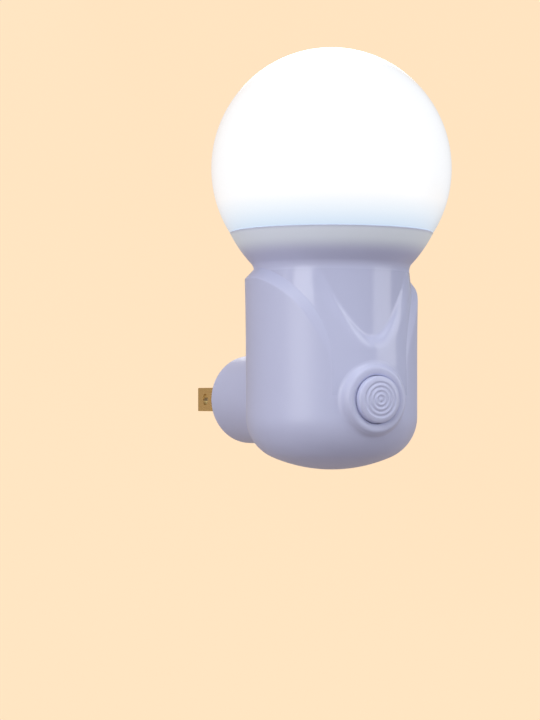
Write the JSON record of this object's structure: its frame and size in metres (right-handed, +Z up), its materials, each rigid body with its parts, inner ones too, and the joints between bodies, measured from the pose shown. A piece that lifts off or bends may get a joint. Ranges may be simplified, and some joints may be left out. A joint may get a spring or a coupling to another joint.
{
  "type": "plug-in night light",
  "caption": "Socket night light: a frosted ball in a flared cup on a short round body with a push button, turning on a plug barrel so the ball stays upright.",
  "frame": {"origin": "Middle of the plug's flat wall face, on the level axis that the lamp turns about.", "axes": "+Y out of the plug's face along the blades, into the wall; the push button looks along -Y. +Z up, from the plug to the ball. +X to the right for someone facing the button."},
  "size_m": [0.06, 0.0915, 0.1051],
  "materials": {
    "housing": "pale lavender, fine satin",
    "diffuser": "opal white, lit from inside",
    "tray_plastic": "plain white",
    "light_board": "white coat on metal",
    "lamp_chip": "yellow resin",
    "steel": "bright",
    "black_plastic": "moulded black",
    "stem_plastic": "natural white",
    "tinned_metal": "tinned",
    "circuit_board": "green lacquer",
    "film_coat": "dipped brown",
    "can_sleeve": "shrunk dark sleeve",
    "resistor_coat": "lacquered",
    "lead_red": "satin",
    "lead_black": "satin",
    "blade_metal": "bright",
    "rubber": "dull"
  },
  "bodies": {
    "plug": {"plug_barrel": "housing", "pin_plate": "housing", "blade_live": "blade_metal", "blade_neutral": "blade_metal", "plug_lead_live": "tinned_metal", "plug_lead_neutral": "tinned_metal", "swivel_clip": "steel", "friction_ring": "rubber", "ring_carrier": "tray_plastic", "slip_ring_live": "blade_metal", "slip_ring_neutral": "blade_metal"},
    "lamp": {"body_shell": "housing", "ball_diffuser": "diffuser", "light_tray": "tray_plastic", "light_board": "light_board", "lamp_chips": "lamp_chip", "tray_screws": "steel", "switch_case": "black_plastic", "switch_spring": "steel", "switch_pins": "tinned_metal", "driver_board": "circuit_board", "film_capacitor": "film_coat", "smoothing_can": "can_sleeve", "rectifier": "black_plastic", "regulator_chip": "black_plastic", "chip_resistors": "black_plastic", "fuse_resistor": "resistor_coat", "light_lead_red": "lead_red", "light_lead_black": "lead_black", "contact_spring_live": "blade_metal", "contact_spring_neutral": "blade_metal"},
    "button": {"button_cap": "housing", "switch_stem": "stem_plastic"}
  },
  "joints": [
    {"name": "plug_swivel", "type": "hinge", "parent": "plug", "child": "lamp", "pos_m": [0, 0, 0], "axis": [0, 1, 0], "range_deg": [-90, 90]},
    {"name": "button_press", "type": "slide", "parent": "lamp", "child": "button", "axis": [0, 1, 0], "range_m": [0, 0.002], "stiffness_N_per_m": 500, "springref_m": -0.001, "deforming": ["switch_spring"]}
  ]
}
